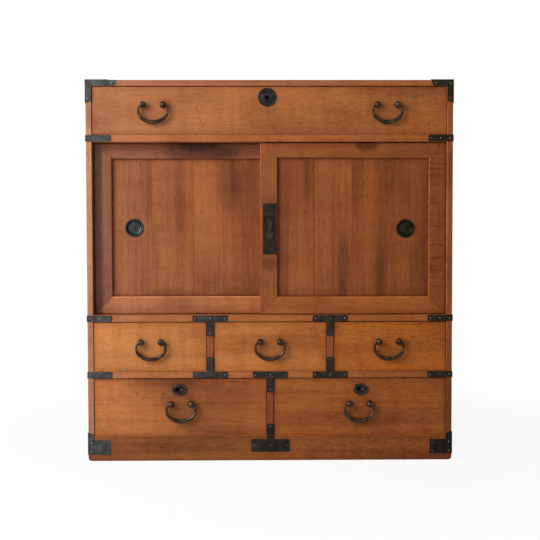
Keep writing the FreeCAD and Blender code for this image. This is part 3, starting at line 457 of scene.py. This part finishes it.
class Grain:
    """Coordinates of a piece of wood: x, y, z as built, and place with its first axis along the grain."""

    def __init__(self, tree, run, seed, door, boards):
        plain = tree.node("TexCoord").outputs["Object"]
        axes = tree.node("SeparateXYZ", None, Vector=plain).outputs
        self.x, self.y, self.z = axes["X"], axes["Y"], axes["Z"]
        self.mitre = self.foot = self.lip = None
        self.seam = self.tone = None
        along, across, deep = {"x": (self.x, self.z, self.y), "z": (self.z, self.x, self.y),
                               "y": (self.y, self.x, self.z), "side": (self.z, self.y, self.x)}[run]
        if door:
            along, across = self.follow_frame(tree, door)
        turned = tree.node("CombineXYZ", None, X=along, Y=across, Z=deep).outputs[0]
        if boards:
            jump = tree.scaled(self.split(tree, across, boards), BOARD_SHIFT)
            turned = tree.vector("ADD", turned, tree.node("CombineXYZ", None, X=jump, Z=jump).outputs[0])
        self.place = tree.vector("ADD", turned, [shift * seed for shift in WOOD_SHIFT])

    def follow_frame(self, tree, door):
        """Turns the grain on the stiles of a mitred frame; finds its mitres, bottom rail and inner lip."""
        (x0, _, z0), (x1, _, z1) = door
        from_top = tree.minus(z1 - TOP_TONGUE, self.z)
        from_foot = tree.minus(self.z, z0 + BOTTOM_TONGUE)
        side = tree.math("DIVIDE", tree.least(tree.minus(self.x, x0), tree.minus(x1, self.x)), STILE)
        foot = tree.math("DIVIDE", from_foot, BOTTOM_RAIL)
        end = tree.least(tree.math("DIVIDE", from_top, TOP_RAIL), foot)
        low = tree.math("LESS_THAN", from_foot, from_top)
        strength = tree.add(tree.scaled(low, MITRE_LOW - MITRE_TOP), MITRE_TOP)
        self.mitre = tree.step(tree.apart(side, end), *MITRE_STEP, 0.0, strength)
        self.foot = tree.scaled(tree.step(tree.minus(foot, side), *FOOT_STEP),
                                tree.math("LESS_THAN", from_foot, BOTTOM_RAIL))
        # The lip is kept to the bottom rail and the right half, whose inner edges mostly face up or to the
        # left, towards the lamp; there it gets wear and a painted highlight
        right = tree.math("GREATER_THAN", self.x, (x0 + x1) / 2)
        self.lip = tree.scaled(tree.step(tree.least(side, end), 1 - ARRIS / STILE, 1 - ARRIS / STILE / 2),
                               tree.math("MAXIMUM", self.foot, right))
        stile = tree.math("LESS_THAN", side, end)
        along = tree.add(self.x, tree.scaled(stile, tree.minus(self.z, self.x)))
        across = tree.add(self.z, tree.scaled(stile, tree.minus(self.x, self.z)))
        return along, across

    def split(self, tree, across, boards):
        """Finds the seams and tones of boards side by side, and the number of the board."""
        number = self.seam = self.tone = 0.0
        for edge, line, tone in boards:
            past = tree.math("GREATER_THAN", across, edge)
            seam = tree.step(tree.apart(across, edge), SEAM, SEAM * SEAM_CORE, 0.0, line)
            number = tree.add(past, number)
            self.seam = tree.add(seam, self.seam)
            self.tone = tree.add(tree.scaled(past, tone), self.tone)
        return number


class Wood(Tree):
    """Old rubbed wood on one piece: its masks tint the shade and shape the fine relief step by step."""

    def __init__(self, piece, base, run, seed, door=None, boards=()):
        super().__init__(piece, (*base, 1.0))
        self.piece = piece
        self.grain = Grain(self, run, seed, door, boards)
        self.noises = {}
        self.pores = self.step(self.pattern("pore"), *PORE_STEP)
        self.height = self.add(self.scaled(self.pattern("fibre"), FIBRE_RISE),
                               self.scaled(self.pattern("streak"), STREAK_RISE),
                               self.scaled(self.pores, -PORE_DEPTH))

    def pattern(self, kind):
        """One of the wood's noises, made once."""
        if kind not in self.noises:
            along, across, detail, roughness = WOOD_NOISES[kind]
            self.noises[kind] = self.noise(self.grain.place, (along, across, across), detail, roughness)
        return self.noises[kind]

    def sink(self, mask, depth):
        """Lowers the surface where a mask is set."""
        self.height = self.add(self.height, self.scaled(mask, -depth))

    def figure(self, tints, factor):
        """Tints that follow the noises, with a factor on their strength."""
        for kind, start, full, strength, tint in tints:
            mask = self.step(self.pattern(kind), start, full, 0.0, strength)
            self.tint(tint, self.scaled(mask, factor))

    def age(self, streaks, specks=0.45, painted_light=0.8, fleck=0.3):
        """Figure, flecks, pores, a painted sheen to the left and painted shade to the right, dents, joints,
        stains and painted keyhole shade; streaks, painted_light and fleck are strengths.
        """
        self.figure(FIGURE, 1.0)
        self.figure(STREAKS, streaks)
        self.figure(FLECKS, self.step(self.grain.x, *FLECK_RANGE, FLECK_LEFT * fleck, fleck))
        self.tint(PORE_DARK, self.scaled(self.pores, PORE_STRENGTH))
        # Painted light: a pale bluish sheen that grows to the left, and painted shade that grows to the right
        for start, full, tint in PAINTED_LIGHT_FALL:
            self.tint(tint, self.step(self.grain.x, start, full, 0.0, painted_light))
        self.dent(specks)
        self.join()
        self.stain_and_shade()

    def dent(self, specks):
        """Long marks and worm holes, scattered in flocks; specks is the share of places without a mark."""
        flock = self.step(self.pattern("flock"), *FLOCK_STEP)
        near, pick = self.cells(self.grain.place, MARK_SCALE, "F1", "2D")
        near = self.add(near, self.scaled(self.pattern("rough"), MARK_ROUGH), self.scaled(pick, MARK_VARIETY))
        marks = self.scaled(self.step(near, *MARK_STEP), self.step(pick, specks, specks + MARK_SPREAD))
        near, pick = self.cells(self.grain.place, HOLE_SCALE, "F1", "2D")
        rare = specks + HOLE_RARER
        holes = self.scaled(self.step(near, *HOLE_STEP), self.step(pick, rare, rare + HOLE_SPREAD))
        dents = self.scaled(self.math("MAXIMUM", self.scaled(marks, MARK_SHALLOW), holes), flock)
        self.tint(DENT_DARK, self.scaled(dents, MARK_STRENGTH))
        self.sink(dents, DENT_DEPTH)

    def join(self):
        """Seams between boards; mitres and the paler bottom rail of a frame."""
        grain = self.grain
        if grain.seam is not None:
            self.tint(BOARD_TONE, grain.tone)
            self.tint(SEAM_DARK, grain.seam)
        if grain.mitre is not None:
            self.tint(FOOT_PALE, grain.foot)
            self.tint(MITRE_DARK, grain.mitre)
            self.sink(grain.mitre, MITRE_DEPTH)

    def stain_and_shade(self):
        """Soft dark patches with ragged outlines: stains, and painted shade in the keyholes."""
        ragged = self.add(self.scaled(self.pattern("cloud"), PATCH_CLOUD),
                          self.scaled(self.pattern("rough"), PATCH_ROUGH), PATCH_SHIFT)
        for x, z, half_x, half_z, strength in STAINS_AND_KEYHOLE_SHADE.get(self.piece, ()):
            reach = self.add(self.oval(self.grain.x, self.grain.z, (x, z), (half_x, half_z)), ragged)
            self.tint(STAIN_AND_SHADE_DARK, self.step(reach, *PATCH_STEP, 0.0, strength))

    def darken_outline(self, outline, edge_dark):
        """A narrow dark band and a broader darker tone along the outline of a front."""
        x, z = self.grain.x, self.grain.z
        (x0, _, z0), (x1, _, z1) = outline
        inset = self.least(self.minus(x, x0), self.minus(x1, x), self.minus(z, z0), self.minus(z1, z))
        for band, strength in ((EDGE_DARK_BAND, edge_dark), (EDGE_TONE, EDGE_TONE_STRENGTH)):
            kind, weight, shift, width, tint = band
            ragged = self.add(inset, self.scaled(self.pattern(kind), weight), shift)
            self.tint(tint, self.step(ragged, width, 0.0, 0.0, strength))

    def crack(self, line):
        """Thin slanting crack that wavers and runs out at both ends."""
        x0, z0, x1, z1, half = line
        fall = self.math("DIVIDE", self.minus(z0, self.grain.z), z0 - z1)
        waver = self.scaled(self.pattern("rough"), CRACK_WAVER)
        middle = self.add(self.scaled(fall, x1 - x0), x0 - CRACK_WAVER / 2, waver)
        mask = self.step(self.apart(self.grain.x, middle), half, half * CRACK_CORE)
        mask = self.scaled(mask, self.scaled(self.step(fall, *CRACK_HEAD), self.step(fall, *CRACK_FOOT)))
        self.tint(CRACK_DARK, self.scaled(mask, MARK_STRENGTH))
        self.sink(mask, CRACK_DEPTH)

    def curl(self, start):
        """Curly figure to the right of a place."""
        figure = self.step(self.pattern("curl"), *CURL_STEP)
        figure = self.scaled(figure, self.step(self.grain.x, start, start + CURL_BLUR))
        self.tint(CURL_DARK, self.scaled(figure, MARK_STRENGTH))

    def rub_and_highlight(self, edge, strength):
        """Wears an edge pale and paints a highlight along it, unevenly along the grain."""
        worn = self.scaled(edge, self.step(self.pattern("band"), *LIP_WEAR_AND_HIGHLIGHT))
        self.tint(LIP_PALE_HIGHLIGHT, self.scaled(worn, strength))

    def rub_and_highlight_arris(self, x):
        """Wears an upright edge pale and paints a highlight on it, in spots."""
        near = self.step(self.apart(self.grain.x, x), ARRIS, ARRIS / 2)
        self.tint(ARRIS_PALE_HIGHLIGHT, self.scaled(near, self.step(self.pattern("rough"), *ARRIS_WEAR_AND_HIGHLIGHT)))

    def hide(self, x):
        """Paints shade on the inner wall between the carcass front and the left door."""
        skin, full = INSIDE_SKIN
        depth = self.scaled(self.step(self.grain.y, *INSIDE_FRONT), self.step(self.grain.y, *INSIDE_BACK))
        self.tint(INSIDE_SHADE, self.scaled(self.step(self.grain.x, x - skin, x - full), depth))

    def finish(self, roughness=WAXED):
        """Feeds the shader and puts the wood on its piece."""
        dull = self.add(self.scaled(self.pattern("cloud"), CLOUD_DULL), self.scaled(self.pores, PORE_DULL),
                        roughness)
        self.feed(self.shader.inputs["Base Color"], self.shade)
        self.feed(self.shader.inputs["Roughness"], dull)
        self.shader.inputs["Specular IOR Level"].default_value = WOOD_SPECULAR
        self.bump(self.height, WOOD_HEIGHT, WOOD_ROUNDING)
        dress(self.piece, self.material)


class Iron(Tree):
    """Blackened wrought iron: hammered, mottled, with faint rust."""

    def __init__(self, name, dark, light, seed):
        super().__init__(name)
        plain = self.node("TexCoord").outputs["Object"]
        axes = self.node("SeparateXYZ", None, Vector=plain).outputs
        self.x, self.z = axes["X"], axes["Z"]
        self.place = self.vector("ADD", plain, [shift * seed for shift in IRON_SHIFT])
        self.mottle = self.pattern(IRON_MOTTLE)
        self.shade = self.mix((*dark, 1.0), (*light, 1.0), self.step(self.mottle, *MOTTLE_STEP))

    def pattern(self, kind):
        """Noise of the same scale all ways."""
        scale, detail, roughness = kind
        return self.noise(self.place, (scale, scale, scale), detail, roughness)

    def age(self, rust, painted_shade):
        """Rust, and painted shade that falls to the right and most at the lower right."""
        self.shade = self.mix(self.shade, RUST, self.step(self.pattern(IRON_BLOOM), *BLOOM_STEP, 0.0, rust))
        # Painted shade that deepens to the right, and most at the lower right
        for start, full, tint in IRON_SHADE_FALL:
            self.tint(tint, self.step(self.x, start, full, 0.0, painted_shade))
        low = self.scaled(self.step(self.z, *IRON_LOW_Z), self.step(self.x, *IRON_LOW_X, 0.0, painted_shade))
        self.tint(IRON_LOW, low)

    def ovals(self, tints):
        """Tints ovals on the front, among them painted shade in the wells of the bottom locks."""
        for x, z, half_x, half_z, tint in tints:
            self.tint(tint, self.step(self.oval(self.x, self.z, (x, z), (half_x, half_z)), *OVAL_STEP))

    def finish(self, roughness, metallic=0.85, relief=0.0005, rounding=0.0005):
        """Feeds the shader."""
        fine = self.pattern(IRON_FINE)
        hammer, _ = self.cells(self.place, HAMMER_SCALE, "SMOOTH_F1", "3D")
        height = self.add(self.scaled(hammer, HAMMER_RISE), self.scaled(fine, FINE_RISE),
                          self.scaled(self.mottle, MOTTLE_RISE))
        self.feed(self.shader.inputs["Base Color"], self.shade)
        self.feed(self.shader.inputs["Roughness"],
                  self.step(fine, *FINE_STEP, roughness - FINE_GLOSSY, roughness + FINE_DULL))
        self.shader.inputs["Metallic"].default_value = metallic
        self.shader.inputs["Specular IOR Level"].default_value = IRON_SPECULAR
        self.bump(height, relief, rounding)


def dress(node, material):
    """Puts one material on a CAD node."""
    slots = nodes[node].data.materials
    slots.clear()
    slots.append(material)


def dress_rails():
    """Woods of the rails, the top, the base and the dividers."""
    for number, node in enumerate(("lower_rail", "middle_rail", "upper_rail", "top_board")):
        rail = Wood(node, TOP if node == "top_board" else RAIL, "x", seed=3 + number)
        rail.age(streaks=0.6)
        rail.darken_outline(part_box(node), edge_dark=0.1)
        rail.finish()
    base = Wood("base_front_rail", BASE, "x", seed=11)
    base.age(streaks=0.9, specks=0.25, fleck=0.7)
    base.darken_outline(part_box("base_front_rail"), edge_dark=0.5)
    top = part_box("base_front_rail")[1][2]
    # Wear and a painted highlight along the base rail's top edge
    base.rub_and_highlight(base.step(base.grain.z, top - ARRIS, top - ARRIS / 2), strength=1.0)
    base.finish()
    dividers = Wood("drawer_dividers", DIVIDER, "z", seed=12)
    dividers.age(streaks=0.6)
    dividers.finish()


def dress_sides():
    """Woods of the sides: painted light on the left one's front edge, painted shade on the right one's."""
    left = Wood("left_side", SIDE, "side", seed=13)
    left.age(streaks=0.8)
    # Painted light: a paler, bluish front edge on the left side
    left.tint(LEFT_EDGE_LIGHT, left.step(left.grain.y, *EDGE_TINT))
    # Painted shade on the inner wall beside the left door
    left.hide(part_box("left_side")[1][0])
    left.finish()
    right = Wood("right_side", SIDE, "side", seed=14)
    right.age(streaks=0.8)
    # Painted shade: a darker front edge on the right side
    right.tint(RIGHT_EDGE_SHADE, right.step(right.grain.y, *EDGE_TINT))
    # Wear and a painted highlight on the inner edge of the right side
    right.rub_and_highlight_arris(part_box("right_side")[0][0])
    right.finish()


def dress_inside():
    """Bare woods of the dust boards and the back."""
    dust = Wood("dust_boards", PALE, "x", seed=15)
    dust.age(streaks=0.8)
    dust.finish(BARE)
    low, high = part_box("back_boards")
    rise = (high[2] - low[2]) / BACK_BOARDS
    boards = [(low[2] + rise * count, BACK_LINE, 0.0) for count in range(1, BACK_BOARDS)]
    back = Wood("back_boards", PALE, "x", seed=16, boards=boards)
    back.age(streaks=0.9)
    back.finish(BARE)


def dress_drawers():
    """Woods of the drawers: rubbed fronts, bare walls and bottoms."""
    fronts = {
        "top_drawer": DRAWER,
        "left_small_drawer": SMALL_DRAWER,
        "middle_small_drawer": SMALL_DRAWER,
        "right_small_drawer": RIGHT_SMALL_DRAWER,
        "left_bottom_drawer": BOTTOM_DRAWER,
        "right_bottom_drawer": RIGHT_BOTTOM_DRAWER,
    }
    for number, (drawer, base) in enumerate(fronts.items()):
        node = drawer + "_front"
        front = Wood(node, base, "x", seed=20 + number)
        front.age(streaks=0.85 if "bottom" in drawer else 0.5, specks=0.36, fleck=0.5)
        front.darken_outline(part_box(node), edge_dark=0.25)
        if drawer == "top_drawer":
            front.crack(CRACK)
        front.finish()
        for part, run, first in (("_walls", "y", 30), ("_bottom", "x", 40)):
            bare = Wood(drawer + part, PALE, run, seed=first + number)
            bare.age(streaks=0.8)
            bare.finish(BARE)


def dress_doors():
    """Woods of the sliding doors."""
    # The last value is the strength of the painted sheen and shade on each panel
    for number, (side, base, painted_light) in enumerate((("left", LEFT_DOOR, 1.0), ("right", RIGHT_DOOR, 0.8))):
        node = side + "_door_frame"
        (x0, y, z0), (x1, _, z1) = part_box(node)
        door = Wood(node, base, "x", seed=51 + number, door=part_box(node))
        door.age(streaks=0.8)
        door.darken_outline(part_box(node), edge_dark=0.4)
        # Wear and a painted highlight along the frame's inner lip
        door.rub_and_highlight(door.grain.lip, strength=0.8)
        if side == "left":
            # Painted light: a pale bluish haze on the left stile, where the left side casts its shadow
            door.tint(STILE_HAZE_LIGHT, door.step(door.grain.x, x0 + HAZE_LIGHT_WIDTH, x0))
        else:
            door.curl(CURL)
            # Wear and a painted highlight on the right door's left edge
            door.rub_and_highlight_arris(x0)
        door.finish()
        node = side + "_door_panel"
        opening = ((x0 + STILE, y, z0 + BOTTOM_TONGUE + BOTTOM_RAIL),
                   (x1 - STILE, y, z1 - TOP_TONGUE - TOP_RAIL))
        panel = Wood(node, PANEL, "z", seed=56 + number, boards=PANEL_BOARDS[node])
        panel.age(streaks=0.9, specks=0.7, painted_light=painted_light)
        panel.darken_outline(opening, edge_dark=0.7)
        panel.finish()


def dress_irons():
    """Irons: plates, worn nail heads, smooth handles, and parts that fingers polish."""
    # painted_shade sets how much painted shade each iron gets towards the right
    plate = Iron("plate_iron", (0.036, 0.036, 0.037), (0.072, 0.072, 0.071), seed=1)
    plate.age(rust=0.5, painted_shade=1.0)
    plate.finish(roughness=0.44, metallic=0.35)
    nail = Iron("nail_iron", (0.060, 0.058, 0.055), (0.150, 0.146, 0.138), seed=2)
    nail.age(rust=0.3, painted_shade=0.3)
    nail.finish(roughness=0.34)
    handle = Iron("handle_iron", (0.030, 0.019, 0.014), (0.085, 0.058, 0.044), seed=3)
    handle.age(rust=0.7, painted_shade=0.3)
    handle.finish(roughness=0.13, relief=0.00012)
    lock = Iron("lock_iron", (0.024, 0.026, 0.024), (0.062, 0.066, 0.060), seed=6)
    lock.age(rust=0.4, painted_shade=0.4)
    lock.ovals(LOCK_OVALS)
    lock.finish(roughness=0.17, relief=0.00025, rounding=0.0008)
    pull = Iron("pull_iron", (0.026, 0.028, 0.028), (0.060, 0.063, 0.063), seed=4)
    pull.age(rust=0.3, painted_shade=1.0)
    pull.finish(roughness=0.34)
    cover = Iron("cover_iron", (0.062, 0.056, 0.055), (0.145, 0.130, 0.127), seed=5)
    cover.age(rust=0.15, painted_shade=1.0)
    cover.finish(roughness=0.30, rounding=0.0012)
    door_plate = Iron("door_plate_iron", (0.029, 0.025, 0.023), (0.060, 0.051, 0.046), seed=7)
    door_plate.age(rust=0.5, painted_shade=1.0)
    door_plate.finish(roughness=0.34, metallic=0.35, relief=0.0008)
    endings = {
        "_irons": plate,
        "_straps": plate,
        "_bolt": plate,
        "_nails": nail,
        "_handle": handle,
        "_handle_pins": handle,
        "_lock": lock,
        "_pull": pull,
        "_cover": cover,
        "_plate": door_plate,
    }
    for node in nodes:
        for ending, iron in endings.items():
            if node.endswith(ending):
                dress(node, iron.material)


def add_camera():
    """Camera at the photograph's place."""
    data = bpy.data.cameras.new("camera")
    data.sensor_fit = "HORIZONTAL"
    data.sensor_width = SENSOR_MM
    data.lens = CAMERA_FOCAL_PX * SENSOR_MM / IMAGE_PX
    camera = bpy.data.objects.new("camera", data)
    camera.location = CAMERA_PLACE
    camera.rotation_euler = [math.radians(angle) for angle in (90 + CAMERA_PITCH, -CAMERA_ROLL, -CAMERA_YAW)]
    bpy.context.scene.collection.objects.link(camera)
    bpy.context.scene.camera = camera


def seen_directly(tree):
    """1 for rays from the camera, off metal or through glass, 0 for light that falls on the object."""
    path = tree.nodes.new("ShaderNodeLightPath")
    total = path.outputs["Is Camera Ray"]
    for ray in ("Is Glossy Ray", "Is Transmission Ray"):
        node = tree.nodes.new("ShaderNodeMath")
        node.operation = "MAXIMUM"
        tree.links.new(total, node.inputs[0])
        tree.links.new(path.outputs[ray], node.inputs[1])
        total = node.outputs[0]
    return total


def add_world():
    """White all round to the eye, a soft grey fill for the object."""
    world = bpy.data.worlds.new("world")
    bpy.context.scene.world = world
    world.use_nodes = True
    tree = world.node_tree
    background = tree.nodes["Background"]
    background.inputs["Color"].default_value = WHITE
    strength = tree.nodes.new("ShaderNodeMapRange")
    tree.links.new(seen_directly(tree), strength.inputs["Value"])
    strength.inputs["To Min"].default_value = AMBIENT
    strength.inputs["To Max"].default_value = 1.0
    tree.links.new(strength.outputs[0], background.inputs["Strength"])


def add_lamp(name, place, size, watts):
    """Flat lamp that faces the middle of the front."""
    data = bpy.data.lights.new(name, "AREA")
    data.shape = "RECTANGLE"
    data.size, data.size_y = size
    data.energy = watts
    lamp = bpy.data.objects.new(name, data)
    lamp.location = place
    reach = [aim - start for aim, start in zip(LAMP_AIM, place)]
    lamp.rotation_euler = (math.atan2(math.hypot(reach[0], reach[1]), -reach[2]), 0,
                           math.atan2(reach[1], reach[0]) - math.pi / 2)
    bpy.context.scene.collection.objects.link(lamp)


def add_floor():
    """Pale floor that keeps the shadow near the chest and turns white away from it."""
    bpy.ops.mesh.primitive_plane_add(size=FLOOR_SIZE, location=(0.0, 0.0, -FLOOR_DROP))
    floor = bpy.context.object
    floor.name = "floor"
    tree = Tree("floor")
    away = tree.node("VectorMath", {"operation": "LENGTH"})
    tree.feed(away.inputs[0], tree.node("TexCoord").outputs["Object"])
    white = tree.step(away.outputs["Value"], *FLOOR_FADE, FLOOR_SHADE, 1.0)
    glow = tree.node("Emission", None, Color=WHITE, Strength=1.0)
    matt = tree.node("BsdfDiffuse", None, Color=FLOOR_MATT)
    mixed = tree.node("MixShader")
    tree.feed(mixed.inputs[0], tree.scaled(white, seen_directly(tree)))
    tree.feed(mixed.inputs[1], matt.outputs[0])
    tree.feed(mixed.inputs[2], glow.outputs[0])
    tree.feed(tree.nodes["Material Output"].inputs["Surface"], mixed.outputs[0])
    tree.nodes.remove(tree.shader)
    floor.data.materials.append(tree.material)


dress_rails()
dress_sides()
dress_inside()
dress_drawers()
dress_doors()
dress_irons()
add_camera()
add_world()
add_lamp("key", KEY_PLACE, KEY_SIZE, KEY_WATTS)
add_lamp("glint", GLINT_PLACE, GLINT_SIZE, GLINT_WATTS)
add_floor()

bpy.context.scene.view_settings.view_transform = "Standard"
